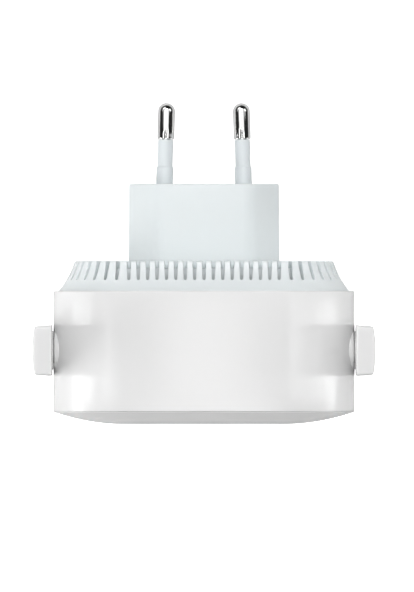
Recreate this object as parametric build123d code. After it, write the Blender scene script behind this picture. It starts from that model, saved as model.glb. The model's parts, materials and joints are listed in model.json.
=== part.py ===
"""Plug-in wifi range extender with two swinging side antennas, as separate pieces.

Millimetres. The origin is the middle of the plug's engagement face, between the pins.
+Y runs into the wall socket and -Y is the front of the extender.
+Z is up, and +X is to the right seen from the front.
"""

from build123d import *
from math import atan2, degrees, radians, sqrt, tan
import os

# ---- driving dimensions: housing ----
BODY_W = 70.5            # housing width, X
BODY_H = 80.0            # housing height, Z
CORNER_R = 17.7          # corner radius of the housing outline
WALL = 1.8               # front shell wall
Y_BACK = -18.2           # rear face of the back cover, the plug's face is Y 0
Y_RIM = -25.2            # rear rim of the front shell
Y_FRONT = -53.3          # front edge of the shell, where the domed cover starts
DOME = 3.1               # height of the front cover at its middle
DOME_EDGE = 0.22         # height of the front cover's edge, where the dome starts
DOME_RUN = 17.0          # how far in from the edge the dome becomes flat
COVER_T = 1.6            # front cover and back cover thickness
BULKHEAD_T = 1.4         # flat front wall of the shell behind the cover

# ---- driving dimensions: back cover and vents ----
RIM_STEP = 1.15          # visible rim of the front shell around the back cover
COVE_TOP = 4.75          # inset of the cove where it meets the back face's edge
COVE_SAG = 0.43          # hollow of the cove arc
BACK_EDGE_R = 0.6
BACK_T = 1.7             # back plate
SLOT_PITCH = 2.175       # vent slots on the straight runs
CORNER_SLOTS = 7         # vent slots fanned round each corner
SLOT_TOP, SLOT_END = 1.05, 0.75   # slot width at the back face and at its closed end
SLOT_DEPTH = 4.4         # how far a slot runs forward from the back face
SLOT_REACH = 2.9         # how far a slot runs in over the back face
BAFFLE_OUT, BAFFLE_IN = 6.3, 9.8   # insets of the baffle's wall and of its flange's inner edge
BAFFLE_T = 0.9
BAFFLE_STEP = 0.6        # step in the baffle's rear edge, clear of the cover's inner corner

# ---- driving dimensions: plug ----
PLUG_W, PLUG_T = 35.3, 13.7      # Europlug body outline
PLUG_EDGE_R, PLUG_POINT_R = 5.0, 0.8
PIN_BASE_PITCH, PIN_TIP_PITCH = 18.6, 17.5
PIN_L = 19.0
PIN_R, SLEEVE_R, CORE_R = 2.0, 1.8, 1.3
COLLAR_L, SLEEVE_L = 4.0, 10.4
COLLAR_SEAT = 1.2        # how deep the sleeve's collar sits in the plug's face
PLUG_FACE_T = 3.0
PLUG_WALL = 1.6

# ---- driving dimensions: antennas ----
PIVOT_Y, PIVOT_Z = -39.1, 24.0
BOSS_R = 4.6
BOSS_FACE = 35.03        # round seat of the antenna's hub, just under the housing's side, X
HUB_FACE = 35.27         # face of the antenna's hub, X
BOSS_IN = 30.3           # inner end of the bearing boss, X
BORE_R, SHAFT_R, CABLE_BORE_R = 3.0, 2.93, 1.0
ANT_IN, ANT_OUT = 35.48, 39.95   # inner face and crown of the blade, X
ANT_EDGE = 39.4          # outer face at its long edges, X
ANT_HALF = 5.92          # half width of the blade at its inner face
ANT_REACH = 30.0         # pivot axis to blade tip
ANT_TAPER = 3.9          # draft of the blade's edges, degrees
LID_INSET, LID_T = 0.8, 1.0      # lid let into the blade's inner face
COAX_R = 0.565

# ---- driving dimensions: boards ----
MAIN_REAR, MAIN_T = -48.4, 1.2
PSU_FRONT, PSU_T = -30.6, 1.6
PART_GAP = 0.05          # fitting gap between pieces that only touch

HALF_W, HALF_H = BODY_W / 2, BODY_H / 2
STRAIGHT_X, STRAIGHT_Z = HALF_W - CORNER_R, HALF_H - CORNER_R
CORNERS = [(sx * STRAIGHT_X, sz * STRAIGHT_Z) for sx, sz in ((1, 1), (-1, 1), (-1, -1), (1, -1))]
SIDES = {"left": -1, "right": 1}


# ---- helpers ----
def at_y(y):
    """Sketch plane facing the front: local x is X, local y is Z."""
    return Plane.XZ.offset(-y)


def slab(sketch, y_a, y_b):
    """A sketch in X and Z made solid between two depths."""
    rear, front = max(y_a, y_b), min(y_a, y_b)
    return extrude(at_y(rear) * sketch, amount=rear - front)


def block(x0, x1, y0, y1, z0, z1):
    centre = Pos((x0 + x1) / 2, (y0 + y1) / 2, (z0 + z1) / 2)
    return centre * Box(abs(x1 - x0), abs(y1 - y0), abs(z1 - z0))


def rod(axis, centre, radius, start, end):
    """A cylinder along X, Y or Z; centre holds the two other coordinates in X, Y, Z order."""
    mid, length = (start + end) / 2, abs(end - start)
    turn = {"X": Rot(0, 90, 0), "Y": Rot(90, 0, 0), "Z": Rot(0, 0, 0)}[axis]
    place = {
        "X": Pos(mid, centre[0], centre[-1]),
        "Y": Pos(centre[0], mid, centre[-1]),
        "Z": Pos(centre[0], centre[-1], mid),
    }[axis]
    return place * turn * Cylinder(radius, length)


def outline(inset):
    return RectangleRounded(BODY_W - 2 * inset, BODY_H - 2 * inset, CORNER_R - inset)


def ring(profile):
    """A profile drawn as (inset, depth), carried round the housing outline's corners and straights."""
    corner_face = Plane(origin=(0, 0, 0), x_dir=(1, 0, 0), z_dir=(0, 0, 1)) * Pos(CORNER_R, 0) * mirror(
        profile, about=Plane.YZ
    )
    turn = Axis((0, 0, 0), (0, -1, 0))
    corner = revolve(corner_face, axis=turn, revolution_arc=90)
    solid = None
    for quarter, (cx, cz) in enumerate(CORNERS):
        place = Pos(cx, 0, cz) * Rot(0, -90 * quarter, 0)
        run = 2 * (STRAIGHT_Z if quarter % 2 == 0 else STRAIGHT_X)
        piece = place * (corner + extrude(corner_face, amount=-run))
        solid = piece if solid is None else solid + piece
    return solid


def tube(points, radii, radius):
    """A round lead along straight runs joined by tangent arcs."""
    path = FilletPolyline(*points, radius=radii)
    start = Plane(origin=path @ 0, z_dir=path % 0)
    return sweep(start * Circle(radius), path=path)


def corner_radii(points):
    """The largest even arc for each corner: 0.45 of its shorter run over the tangent of half its turn."""
    radii = []
    for a, b, c in zip(points, points[1:], points[2:]):
        into, out = Vector(*b) - Vector(*a), Vector(*c) - Vector(*b)
        half_turn = radians(into.get_angle(out) / 2)
        radii.append(0.45 * min(into.length, out.length) / tan(half_turn))
    return radii


# ---- housing ----
LIGHT_Z, LIGHT_R = -21.0, 1.0
HOOKS_FRONT = [(-20.0, 20.0, -1), (20.0, 20.0, 1), (-20.0, -18.0, -1), (20.0, -18.0, 1)]
HOOK_W, HOOK_T = 5.0, 1.2


def dome_trim(radius, centre_y, inset):
    """What a dome of this radius takes off a flat slab's front, as a profile from inset to the flat."""

    def height(at):
        return centre_y - sqrt(radius**2 - (DOME_RUN - at) ** 2)

    mid = (inset + DOME_RUN) / 2
    start, flat = (inset, height(inset)), (DOME_RUN, height(DOME_RUN))
    beyond = flat[1] - 1
    curve = ThreePointArc(start, (mid, height(mid)), flat)
    rest = Polyline(flat, (DOME_RUN, beyond), (inset - 1, beyond), (inset - 1, start[1]), start)
    return make_face(curve + rest)


def make_front_cover():
    """Domed cosmetic cover over the shell's flat front, with four snap hooks behind."""
    rise = DOME - DOME_EDGE
    outer_r = (DOME_RUN**2 + rise**2) / (2 * rise)
    inner_r = outer_r - COVER_T
    centre_y = Y_FRONT - DOME + outer_r
    land = DOME_RUN - sqrt(inner_r**2 - (centre_y - Y_FRONT) ** 2)
    cover = slab(outline(0), Y_FRONT - PART_GAP, Y_FRONT - DOME) - ring(dome_trim(outer_r, centre_y, 0))
    hollow = slab(outline(land), Y_FRONT, Y_FRONT - DOME + COVER_T)
    cover -= hollow - ring(dome_trim(inner_r, centre_y, land))
    for hx, hz, out in HOOKS_FRONT:
        cover += front_hook(hx, hz, out)
    return cover - rod("Y", (0, LIGHT_Z), LIGHT_R + 0.06, Y_FRONT, Y_FRONT - DOME - 1)


def front_hook(hx, hz, out):
    bulkhead_rear = Y_FRONT + BULKHEAD_T
    beam = block(hx - HOOK_T / 2, hx + HOOK_T / 2, Y_FRONT - DOME + COVER_T - 0.3, bulkhead_rear + 1.0,
                 hz - HOOK_W / 2, hz + HOOK_W / 2)
    barb = Polyline((hx, bulkhead_rear + 0.1), (hx + out * (HOOK_T / 2 + 0.5), bulkhead_rear + 0.1),
                    (hx + out * HOOK_T / 2, bulkhead_rear + 1.0), (hx, bulkhead_rear + 1.0), close=True)
    return beam + extrude(Plane.XY.offset(hz - HOOK_W / 2) * make_face(barb), amount=HOOK_W)


STANDOFFS = [(-24.5, -29.0), (24.5, -29.0), (-24.5, 28.5), (24.5, 28.5)]
HOOKS_BACK = [("Z", x, side) for x in (-13.0, 13.0) for side in (-1, 1)]
HOOKS_BACK += [("X", -8.0, side) for side in (-1, 1)]
JACK_HALF, JACK_REAR, JACK_MOUTH, JACK_L = 8.0, -35.0, -39.4, 21.0
RESET_X, RESET_Y, RESET_R = 13.0, -46.6, 1.7


def back_hook_box(hook, inset_a, inset_b, y_a, y_b, half):
    """A box along the shell's inner wall; the hook names the wall's axis, the place along it and its side."""
    wall_axis, along, side = hook
    reach = HALF_H if wall_axis == "Z" else HALF_W
    a, b = side * (reach - inset_a), side * (reach - inset_b)
    if wall_axis == "Z":
        return block(along - half, along + half, y_a, y_b, a, b)
    return block(a, b, y_a, y_b, along - half, along + half)


def make_front_shell():
    """White outer shell: the side wall, a flat bulkhead in front, and the antennas' two bearing bosses."""
    bulkhead_rear = Y_FRONT + BULKHEAD_T
    shell = slab(outline(0), Y_RIM, Y_FRONT)
    shell = fillet(shell.edges().group_by(Axis.Y)[-1], 0.3)
    shell = fillet(shell.edges().group_by(Axis.Y)[0], 0.12)
    for side in SIDES.values():
        shell -= rod("X", (PIVOT_Y, PIVOT_Z), BOSS_R + 0.05, side * BOSS_FACE, side * (HALF_W + 1))
        boss = rod("X", (PIVOT_Y, PIVOT_Z), BOSS_R, side * (HALF_W - 3), side * BOSS_FACE)
        shell += fillet(boss.edges().group_by(Axis.X)[-1 if side > 0 else 0], 0.15)
    shell -= slab(outline(WALL), Y_RIM + 1, bulkhead_rear)
    shell -= slab(outline(RIM_STEP), Y_RIM + 1, Y_RIM - 2.1)
    for side in SIDES.values():
        shell += rod("X", (PIVOT_Y, PIVOT_Z), BOSS_R, side * BOSS_IN, side * (HALF_W - 1.5))
    for sx, sz in STANDOFFS:
        shell += rod("Y", (sx, sz), 2.2, MAIN_REAR - MAIN_T, bulkhead_rear - 0.2)
        shell -= rod("Y", (sx, sz), 0.75, MAIN_REAR, bulkhead_rear - 0.7)
    for side in SIDES.values():
        shell -= rod("X", (PIVOT_Y, PIVOT_Z), BORE_R, side * (BOSS_IN - 1), side * (HALF_W + 1))
    for hx, hz, out in HOOKS_FRONT:
        near, far = hx - out * (HOOK_T / 2 + 0.15), hx + out * (HOOK_T / 2 + 0.1)
        half = HOOK_W / 2 + 0.2
        shell -= block(near, far, Y_FRONT - 1, bulkhead_rear + 1, hz - half, hz + half)
    for hook in HOOKS_BACK:
        shell -= back_hook_box(hook, 1.15, WALL + 0.2, -31.2, -33.4, 3.2)
    shell -= rod("Y", (0, LIGHT_Z), LIGHT_R + 0.15, Y_FRONT - 1, bulkhead_rear + 1)
    window = JACK_HALF + 0.2
    shell -= block(-window, window, JACK_REAR + 0.2, MAIN_REAR - 0.15, -HALF_H - 1, -HALF_H + WALL + 1)
    shell -= rod("Z", (RESET_X, RESET_Y), RESET_R + 0.07, -HALF_H - 1, -HALF_H + WALL + 1)
    return shell


def cove_points(offset):
    """Rim, middle and top of the cove arc as (inset, depth), moved in by offset for the inner side."""
    ax, ay = RIM_STEP + offset, Y_RIM
    bx, by = COVE_TOP + offset, Y_BACK - BACK_EDGE_R
    length = sqrt((bx - ax) ** 2 + (by - ay) ** 2)
    nx, ny = (by - ay) / length, -(bx - ax) / length
    return (ax, ay), ((ax + bx) / 2 + COVE_SAG * nx, (ay + by) / 2 + COVE_SAG * ny), (bx, by)


def cove_trim(offset):
    """What the cove takes off a square-edged slab, as a profile."""
    a, m, b = cove_points(offset)
    edge = (b[0] + BACK_EDGE_R * 0.8, b[1] + BACK_EDGE_R)
    bend = (b[0] + BACK_EDGE_R * 0.22, b[1] + BACK_EDGE_R * 0.68)
    curve = ThreePointArc(a, m, b) + ThreePointArc(b, bend, edge)
    rest = Polyline(edge, (edge[0], edge[1] + 1), (a[0] - 1.5, edge[1] + 1), (a[0] - 1.5, a[1]), a)
    return make_face(curve + rest)


def slot_places():
    """Position and outward angle of each vent slot round the outline."""
    places = []
    across = round(STRAIGHT_X / SLOT_PITCH)
    down = round(STRAIGHT_Z / SLOT_PITCH)
    for i in range(-across, across + 1):
        x = i * STRAIGHT_X / across
        places += [(x, STRAIGHT_Z, 90), (x, -STRAIGHT_Z, 270)]
    for i in range(-down, down + 1):
        z = i * STRAIGHT_Z / down
        places += [(STRAIGHT_X, z, 0), (-STRAIGHT_X, z, 180)]
    step = 90 / (CORNER_SLOTS + 1)
    for quarter, (cx, cz) in enumerate(CORNERS):
        places += [(cx, cz, 90 * quarter + step * (i + 1)) for i in range(CORNER_SLOTS)]
    return places


def slot_cutter():
    """One slot, outward along +X from a corner centre: wider at the back face, round at its closed end."""
    end_y = Y_BACK - SLOT_DEPTH + SLOT_END / 2
    sketch = make_face(Polyline((-SLOT_TOP / 2 - 0.03, Y_BACK + 0.5), (SLOT_TOP / 2 + 0.03, Y_BACK + 0.5),
                                (SLOT_END / 2, end_y), (-SLOT_END / 2, end_y), close=True))
    sketch += Pos(0, end_y) * Circle(SLOT_END / 2)
    inner = CORNER_R - (COVE_TOP + BACK_EDGE_R) - SLOT_REACH
    plane = Plane(origin=(inner, 0, 0), x_dir=(0, 0, 1), z_dir=(-1, 0, 0))
    return extrude(plane * sketch, amount=-(CORNER_R - inner))


FLANGE_HALF_W, FLANGE_HALF_H = 20.5, 9.5
PSU_POSTS = [(-19.5, -13.5), (19.5, -13.5), (-19.5, 23.5), (19.5, 23.5)]


def plug_outline():
    """Europlug hexagon, 45 degree bevels meeting in a blunted point at each side."""
    w, t = PLUG_W / 2 + PLUG_POINT_R * (sqrt(2) - 1), PLUG_T / 2
    shape = make_face(Polyline((-w, 0), (t - w, t), (w - t, t), (w, 0), (w - t, -t), (t - w, -t), close=True))
    blunt = shape.vertices().filter_by(lambda v: abs(v.Y) > t / 2)
    shape = fillet(blunt, PLUG_EDGE_R)
    points = shape.vertices().filter_by(lambda v: abs(v.Y) < 0.01)
    return fillet(points, PLUG_POINT_R)


def make_back_cover():
    """Back cover: hollow coved sides, a ring of vent slots, posts for the supply board and snap hooks."""
    cover = slab(outline(RIM_STEP + PART_GAP), Y_RIM, Y_BACK) - ring(cove_trim(0))
    cover += slab(outline(RIM_STEP + PART_GAP), Y_RIM, Y_RIM - 2.0)
    hollow = slab(outline(RIM_STEP + COVER_T), Y_RIM, Y_BACK - BACK_T)
    hollow -= Pos(0, -BACK_T, 0) * ring(cove_trim(COVER_T))
    cover = cover - hollow - slab(outline(RIM_STEP + COVER_T), Y_RIM + 0.1, Y_RIM - 3)
    cutters = []
    blade = slot_cutter()
    for px, pz, angle in slot_places():
        cutters.append(Pos(px, 0, pz) * Rot(0, -angle, 0) * blade)
    cover = cover - cutters
    cover -= slab(offset(plug_outline(), 0.1), Y_BACK + 1, Y_BACK - BACK_T - 1)
    for px, pz in PSU_POSTS:
        cover += rod("Y", (px, pz), 2.2, Y_BACK - BACK_T + 0.3, PSU_FRONT + PSU_T)
        cover -= rod("Y", (px, pz), 0.85, Y_BACK - BACK_T - 1.5, PSU_FRONT)
    for hook in HOOKS_BACK:
        cover += back_hook_box(hook, WALL + 0.1, WALL + 1.3, Y_RIM - 1.0, -33.1, 2.6)
        cover += back_hook_box(hook, RIM_STEP + COVER_T - 0.3, WALL + 1.3, Y_RIM - 1.0, Y_RIM - 1.9, 2.6)
        cover += back_hook_box(hook, 1.35, WALL + 0.2, -31.5, -33.1, 2.6)
    return cover


def make_plug_housing():
    """Hollow Europlug body with the two pin seats in its face and a flange held behind the back cover."""
    plug = slab(plug_outline(), 0, Y_BACK - BACK_T - PART_GAP)
    plug = fillet(plug.edges().group_by(Axis.Y)[-1], 0.35)
    flange_rear = Y_BACK - BACK_T - PART_GAP
    plug += slab(RectangleRounded(2 * FLANGE_HALF_W, 2 * FLANGE_HALF_H, 3), flange_rear, flange_rear - 1.6)
    plug -= slab(offset(plug_outline(), -PLUG_WALL), -PLUG_FACE_T, flange_rear - 3)
    for side in SIDES.values():
        plug -= pin_place(side) * rod("Y", (0, 0), PIN_R + 0.1, -COLLAR_SEAT, 1)
        plug -= pin_place(side) * rod("Y", (0, 0), SLEEVE_R + 0.03, -PLUG_FACE_T - 1, 1)
    return plug


# ---- pins ----
def pin_place(side):
    """Where a pin stands: the two lean towards each other."""
    lean = degrees(atan2((PIN_BASE_PITCH - PIN_TIP_PITCH) / 2, PIN_L))
    return Pos(side * PIN_BASE_PITCH / 2, 0, 0) * Rot(0, 0, side * lean)


def turned(points):
    """A profile of (radius, depth) points turned about the Y axis."""
    return revolve(make_face(Polyline(*points, close=True)), axis=Axis.Y)


def make_pin(side):
    """Plated pin: round-nosed tip, slim core in the sleeve, locking head and solder tail behind the face."""
    nose = PIN_L - PIN_R
    seat = SLEEVE_L + PART_GAP
    tip = turned([(0, seat), (PIN_R - 0.2, seat), (PIN_R, seat + 0.2), (PIN_R, nose), (0, nose)])
    tip += Pos(0, nose, 0) * Sphere(PIN_R)
    core = rod("Y", (0, 0), CORE_R, SLEEVE_L + 0.2, -PLUG_FACE_T - 0.2)
    head = rod("Y", (0, 0), 2.6, -PLUG_FACE_T - 0.13, -PLUG_FACE_T - 1.2)
    tail = rod("Y", (0, 0), 1.0, -PLUG_FACE_T - 1.1, -PLUG_FACE_T - 4.0)
    return pin_place(side) * (tip + core + head + tail)


def make_sleeve(side):
    """Insulating sleeve moulded round the pin, with a thicker collar at the plug's face."""
    bore = CORE_R + 0.02
    foot, seat = -PLUG_FACE_T + PART_GAP, -COLLAR_SEAT + PART_GAP
    sleeve = turned([(bore, foot), (SLEEVE_R, foot), (SLEEVE_R, SLEEVE_L), (bore, SLEEVE_L)])
    top, rim = COLLAR_L, 0.15
    collar = turned([(bore, seat), (PIN_R, seat), (PIN_R, top - rim), (PIN_R - rim, top), (bore, top)])
    return pin_place(side) * (sleeve + collar)


def make_lead(side):
    """Insulated lead from a pin's solder tail to the supply board."""
    tail_x, tail_y = side * (PIN_BASE_PITCH / 2 + 0.2), -PLUG_FACE_T - 4.05
    board_x, board_z = side * 7.5, 2.0
    points = [(tail_x, tail_y, 0), (tail_x, tail_y - 4, 0), (board_x, tail_y - 9, board_z)]
    points.append((board_x, PSU_FRONT + PSU_T + PART_GAP, board_z))
    return tube(points, corner_radii(points), 0.8)


# ---- antennas: modelled on the right, mirrored for the left ----
def blade_outline(inset=0.0):
    """Blade outline in Y and Z: round about the pivot at the foot, square with small corners at the tip."""
    half, top = ANT_HALF - inset, ANT_REACH - inset
    foot = Circle(half)
    bar = Pos(0, top / 2) * Rectangle(2 * half, top)
    shape = foot + bar
    corners = shape.vertices().group_by(Axis.Y)[-1]
    return fillet(corners, max(0.9 - inset, 0.3))


BLADE_PLANE = Plane(origin=(0, PIVOT_Y, PIVOT_Z), x_dir=(0, 1, 0), z_dir=(1, 0, 0))


def make_antenna_shell():
    """Outer half of the antenna: a shallow crowned box, open towards the housing."""
    inner_face = BLADE_PLANE.offset(ANT_IN)
    blade = extrude(inner_face * blade_outline(), amount=ANT_OUT - ANT_IN + 0.5, taper=ANT_TAPER)
    edge_half = ANT_HALF - (ANT_EDGE - ANT_IN) * tan(radians(ANT_TAPER))
    crown_h = ANT_OUT - ANT_EDGE
    crown_r = (edge_half**2 + crown_h**2) / (2 * crown_h)
    tip_z = PIVOT_Z + ANT_REACH
    blade &= rod("Z", (ANT_OUT - crown_r, PIVOT_Y), crown_r, PIVOT_Z - 10, tip_z + 1)
    above, beyond = tip_z + 0.01, ANT_EDGE + 1.5
    bevel = make_face(Polyline((ANT_EDGE, above), (beyond, above), (beyond, above - 1.9), close=True))
    blade -= extrude(at_y(PIVOT_Y + 8) * bevel, amount=16)
    blade -= extrude(BLADE_PLANE.offset(ANT_IN - 1) * blade_outline(LID_INSET), amount=1 + LID_T + PART_GAP)
    return blade - extrude(inner_face * blade_outline(LID_INSET + 0.8), amount=ANT_EDGE - ANT_IN - 1.0)


def make_antenna_cover():
    """Inner half of the antenna: a flat lid with the pivot collar and the hollow shaft."""
    lid = extrude(BLADE_PLANE.offset(ANT_IN) * blade_outline(LID_INSET + PART_GAP), amount=LID_T)
    pivot = (PIVOT_Y, PIVOT_Z)
    lid += rod("X", pivot, BOSS_R - 0.1, HUB_FACE, ANT_IN + 0.1)
    lid += rod("X", pivot, SHAFT_R, 28.0, ANT_IN)
    groove = rod("X", pivot, SHAFT_R + 1, 28.9, 29.5) - rod("X", pivot, 2.3, 28.8, 29.6)
    return lid - groove - rod("X", pivot, CABLE_BORE_R, 27, ANT_IN + 2)


def make_antenna_element():
    """Printed radiator: a narrow circuit strip, flared above its feed point."""
    strip = block(37.7, 38.3, PIVOT_Y - 3.6, PIVOT_Y + 3.6, PIVOT_Z + 3.6, PIVOT_Z + 27.5)
    slit = block(37, 39, PIVOT_Y - 0.6, PIVOT_Y + 0.6, PIVOT_Z + 8, PIVOT_Z + 20)
    return strip - slit


def make_antenna_pigtail():
    """Coaxial lead inside the antenna, from the shaft's bore up to the radiator."""
    y, z = PIVOT_Y, PIVOT_Z
    points = [(29.1, y, z), (37.1, y, z), (37.1, y, z + 5.4)]
    return tube(points, [1.3], COAX_R)


def make_retaining_clip():
    """Open spring clip in the shaft's groove."""
    clip = rod("X", (PIVOT_Y, PIVOT_Z), 4.2, 28.95, 29.45) - rod("X", (PIVOT_Y, PIVOT_Z), 2.34, 28, 30)
    return clip - block(28, 30, PIVOT_Y - 1.6, PIVOT_Y + 1.6, PIVOT_Z - 6, PIVOT_Z)


def make_friction_washer():
    pivot = (PIVOT_Y, PIVOT_Z)
    return rod("X", pivot, 4.5, 29.6, BOSS_IN - PART_GAP) - rod("X", pivot, BORE_R + 0.06, 29, 31)


COAX_X, COAX_Z = 13.5, 31.0


def make_coax():
    """Coaxial lead from the shaft's bore to its plug on the main board."""
    y, z = PIVOT_Y, PIVOT_Z
    plug_y = MAIN_REAR + 1.0
    points = [(29.0, y, z), (25.4, y, z), (22.0, y - 4.5, z + 4)]
    points += [(19.0, plug_y, COAX_Z), (COAX_X + 1.75, plug_y, COAX_Z)]
    return tube(points, corner_radii(points), COAX_R)


def make_coax_plug():
    """Snap-on coaxial plug on the main board."""
    plug = rod("Y", (COAX_X, COAX_Z), 1.5, MAIN_REAR + PART_GAP, MAIN_REAR + 1.7)
    barrel = block(COAX_X, COAX_X + 1.7, MAIN_REAR + 0.4, MAIN_REAR + 1.6, COAX_Z - 0.6, COAX_Z + 0.6)
    return plug + barrel


# ---- supply board ----
def make_psu_board():
    board = slab(Pos(0, 5.0) * RectangleRounded(45, 43, 2), PSU_FRONT + PSU_T, PSU_FRONT)
    for px, pz in PSU_POSTS:
        board -= rod("Y", (px, pz), 1.1, PSU_FRONT - 1, PSU_FRONT + PSU_T + 1)
    for x in HEADER_X:
        board -= rod("Y", (x, HEADER_Z), 0.5, PSU_FRONT - 1, PSU_FRONT + PSU_T + 1)
    return board


HEADER_X, HEADER_Z = [-14.5, -12.5, -10.5, -8.5], -13.5


def make_transformer_core():
    """Ferrite E cores: outer box with two windows either side of the centre leg."""
    x, z, rear, front = 8.0, 12.0, PSU_FRONT - 0.6, PSU_FRONT - 13.1
    core = block(x - 8, x + 8, rear, front, z - 2.75, z + 2.75)
    for lo, hi in ((-5.6, -2.0), (2.0, 5.6)):
        core -= block(x + lo, x + hi, rear - 2.2, front + 2.2, z - 4, z + 4)
    return core


def make_transformer_winding():
    """Taped coil round the core's centre leg."""
    x, z, mid = 8.0, 12.0, PSU_FRONT - 6.85
    coil = block(x - 5.5, x + 5.5, mid - 3.9, mid + 3.9, z - 7.5, z + 7.5)
    coil = fillet(coil.edges().filter_by(Axis.Z), 1.2)
    coil -= block(x - 2.1, x + 2.1, mid - 5, mid + 5, z - 2.9, z + 2.9)
    return coil - block(x - 6, x + 6, mid - 5, mid - 3.95, z - 9, z + 9)


def capacitor(x, z, radius, height):
    """Can on a sleeve with a rolled groove near its foot and a pressed top."""
    foot, top = PSU_FRONT - PART_GAP, PSU_FRONT - height
    can = rod("Y", (x, z), radius, foot, top)
    can = fillet(can.edges().group_by(Axis.Y)[0], 0.6)
    groove_y = foot - 1.8
    groove = rod("Y", (x, z), radius + 1, groove_y, groove_y - 0.7)
    return can - (groove - rod("Y", (x, z), radius - 0.35, groove_y + 1, groove_y - 2))


def make_psu_resistor():
    """Axial resistor on bent legs."""
    z, lift = 23.0, PSU_FRONT - 2.6
    body = rod("X", (lift, z), 1.7, -13.5, -4.5)
    for foot, end in ((-14.9, -13.0), (-3.1, -5.0)):
        body += rod("Y", (foot, z), 0.35, PSU_FRONT - PART_GAP, lift)
        body += rod("X", (lift, z), 0.35, foot, end)
    return body


def make_psu_chips():
    """Controller, opto-isolator and output diode, three flat packages."""
    front = PSU_FRONT - PART_GAP
    return Compound(children=[
        block(-3.0, 2.0, front, front - 1.6, -14.0, -10.0),
        block(4.5, 9.5, front, front - 2.4, -14.5, -10.0),
        block(12.0, 16.5, front, front - 2.2, -12.5, -8.5),
    ])


def make_header_pins():
    rear, front = PSU_FRONT + PSU_T + 0.8, MAIN_REAR - MAIN_T - 0.8
    return Compound(children=[
        block(x - 0.3, x + 0.3, rear, front, HEADER_Z - 0.3, HEADER_Z + 0.3) for x in HEADER_X
    ])


def make_header_base():
    left, right = HEADER_X[0] - 1.2, HEADER_X[-1] + 1.2
    base = block(left, right, PSU_FRONT - PART_GAP, PSU_FRONT - 2.5, HEADER_Z - 1.2, HEADER_Z + 1.2)
    for x in HEADER_X:
        base -= block(x - 0.32, x + 0.32, PSU_FRONT, PSU_FRONT - 3, HEADER_Z - 0.32, HEADER_Z + 0.32)
    return base


# ---- main board ----
def make_main_board():
    board = slab(Pos(0, -1.5) * RectangleRounded(58, 68, 9), MAIN_REAR, MAIN_REAR - MAIN_T)
    for sx, sz in STANDOFFS:
        board -= rod("Y", (sx, sz), 1.0, MAIN_REAR + 1, MAIN_REAR - MAIN_T - 1)
    for x in HEADER_X:
        board -= rod("Y", (x, HEADER_Z), 0.5, MAIN_REAR + 1, MAIN_REAR - MAIN_T - 1)
    return board


CAN_X, CAN_Z = (-12.0, 10.0), (4.0, 24.0)


def make_shield_can():
    rear = MAIN_REAR + PART_GAP
    can = block(CAN_X[0], CAN_X[1], rear, rear + 2.0, CAN_Z[0], CAN_Z[1])
    can = fillet(can.edges().group_by(Axis.Y)[-1], 0.3)
    return can - block(CAN_X[0] + 0.2, CAN_X[1] - 0.2, rear - 1, rear + 1.8, CAN_Z[0] + 0.2, CAN_Z[1] - 0.2)


def make_memory_chips():
    rear = MAIN_REAR + PART_GAP
    flash = block(-9.5, -5.5, rear, rear + 0.9, 6.0, 9.0)
    return Compound(children=[block(3.0, 8.2, rear, rear + 1.1, 7.0, 12.0), flash])


def make_passives():
    """Rows of small chip resistors and capacitors beside the larger parts."""
    rear = MAIN_REAR + PART_GAP
    spots = [(16.0 + 2.4 * i, 2.0) for i in range(4)] + [(-22.0 + 2.4 * i, 4.0) for i in range(3)]
    spots += [(-21.0, 12.0 + 2.4 * i) for i in range(4)] + [(14.5, 10.0 + 2.4 * i) for i in range(4)]
    return Compound(children=[block(x, x + 1.0, rear, rear + 0.5, z, z + 1.6) for x, z in spots])


def make_inductor():
    x0, z0, rear = 16.0, -8.0, MAIN_REAR + PART_GAP
    body = block(x0, x0 + 5, rear, rear + 2.6, z0, z0 + 5)
    return fillet(body.edges().filter_by(Axis.Y), 0.8)


def make_magnetics():
    rear = MAIN_REAR + PART_GAP
    body = block(-5.5, 5.5, rear, rear + 2.3, -16.8, -10.0)
    for i in range(8):
        x = -5.2 + 1.35 * i
        for z in (-17.6, -10.1):
            body += block(x, x + 0.45, rear, rear + 0.4, z, z + 0.9)
    return body


# ---- network jack ----
def jack_block(inset, mouth_inset):
    """The jack's outer block, made smaller by inset on every side but its mouth."""
    front, rear = MAIN_REAR + PART_GAP + inset, JACK_REAR - inset
    low, high = JACK_MOUTH + mouth_inset, JACK_MOUTH + JACK_L - inset
    return block(inset - JACK_HALF, JACK_HALF - inset, front, rear, low, high)


def make_jack_shield():
    """Thin metal box round the jack, open at its mouth."""
    return jack_block(0, 0) - jack_block(0.25, -1)


CAVITY_Y = (-46.2, -39.2)
WIRE_X = [(i - 3.5) * 1.02 for i in range(8)]


def make_jack_insert():
    """Black insert with the stepped plug cavity, latch notch behind."""
    body = jack_block(0.3, 0.1)
    mouth, depth = JACK_MOUTH - 1, JACK_MOUTH + 13.5
    body -= block(-5.9, 5.9, CAVITY_Y[0], CAVITY_Y[1], mouth, depth)
    body -= block(-3.2, 3.2, CAVITY_Y[1] - 0.1, CAVITY_Y[1] + 1.6, mouth, depth)
    body -= block(-2.0, 2.0, CAVITY_Y[1], CAVITY_Y[1] + 2.9, mouth, depth)
    for x in WIRE_X:
        body -= block(x - 0.3, x + 0.3, CAVITY_Y[0] + 0.1, CAVITY_Y[0] - 0.9, mouth + 3.4, depth + 0.5)
    return body


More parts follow.
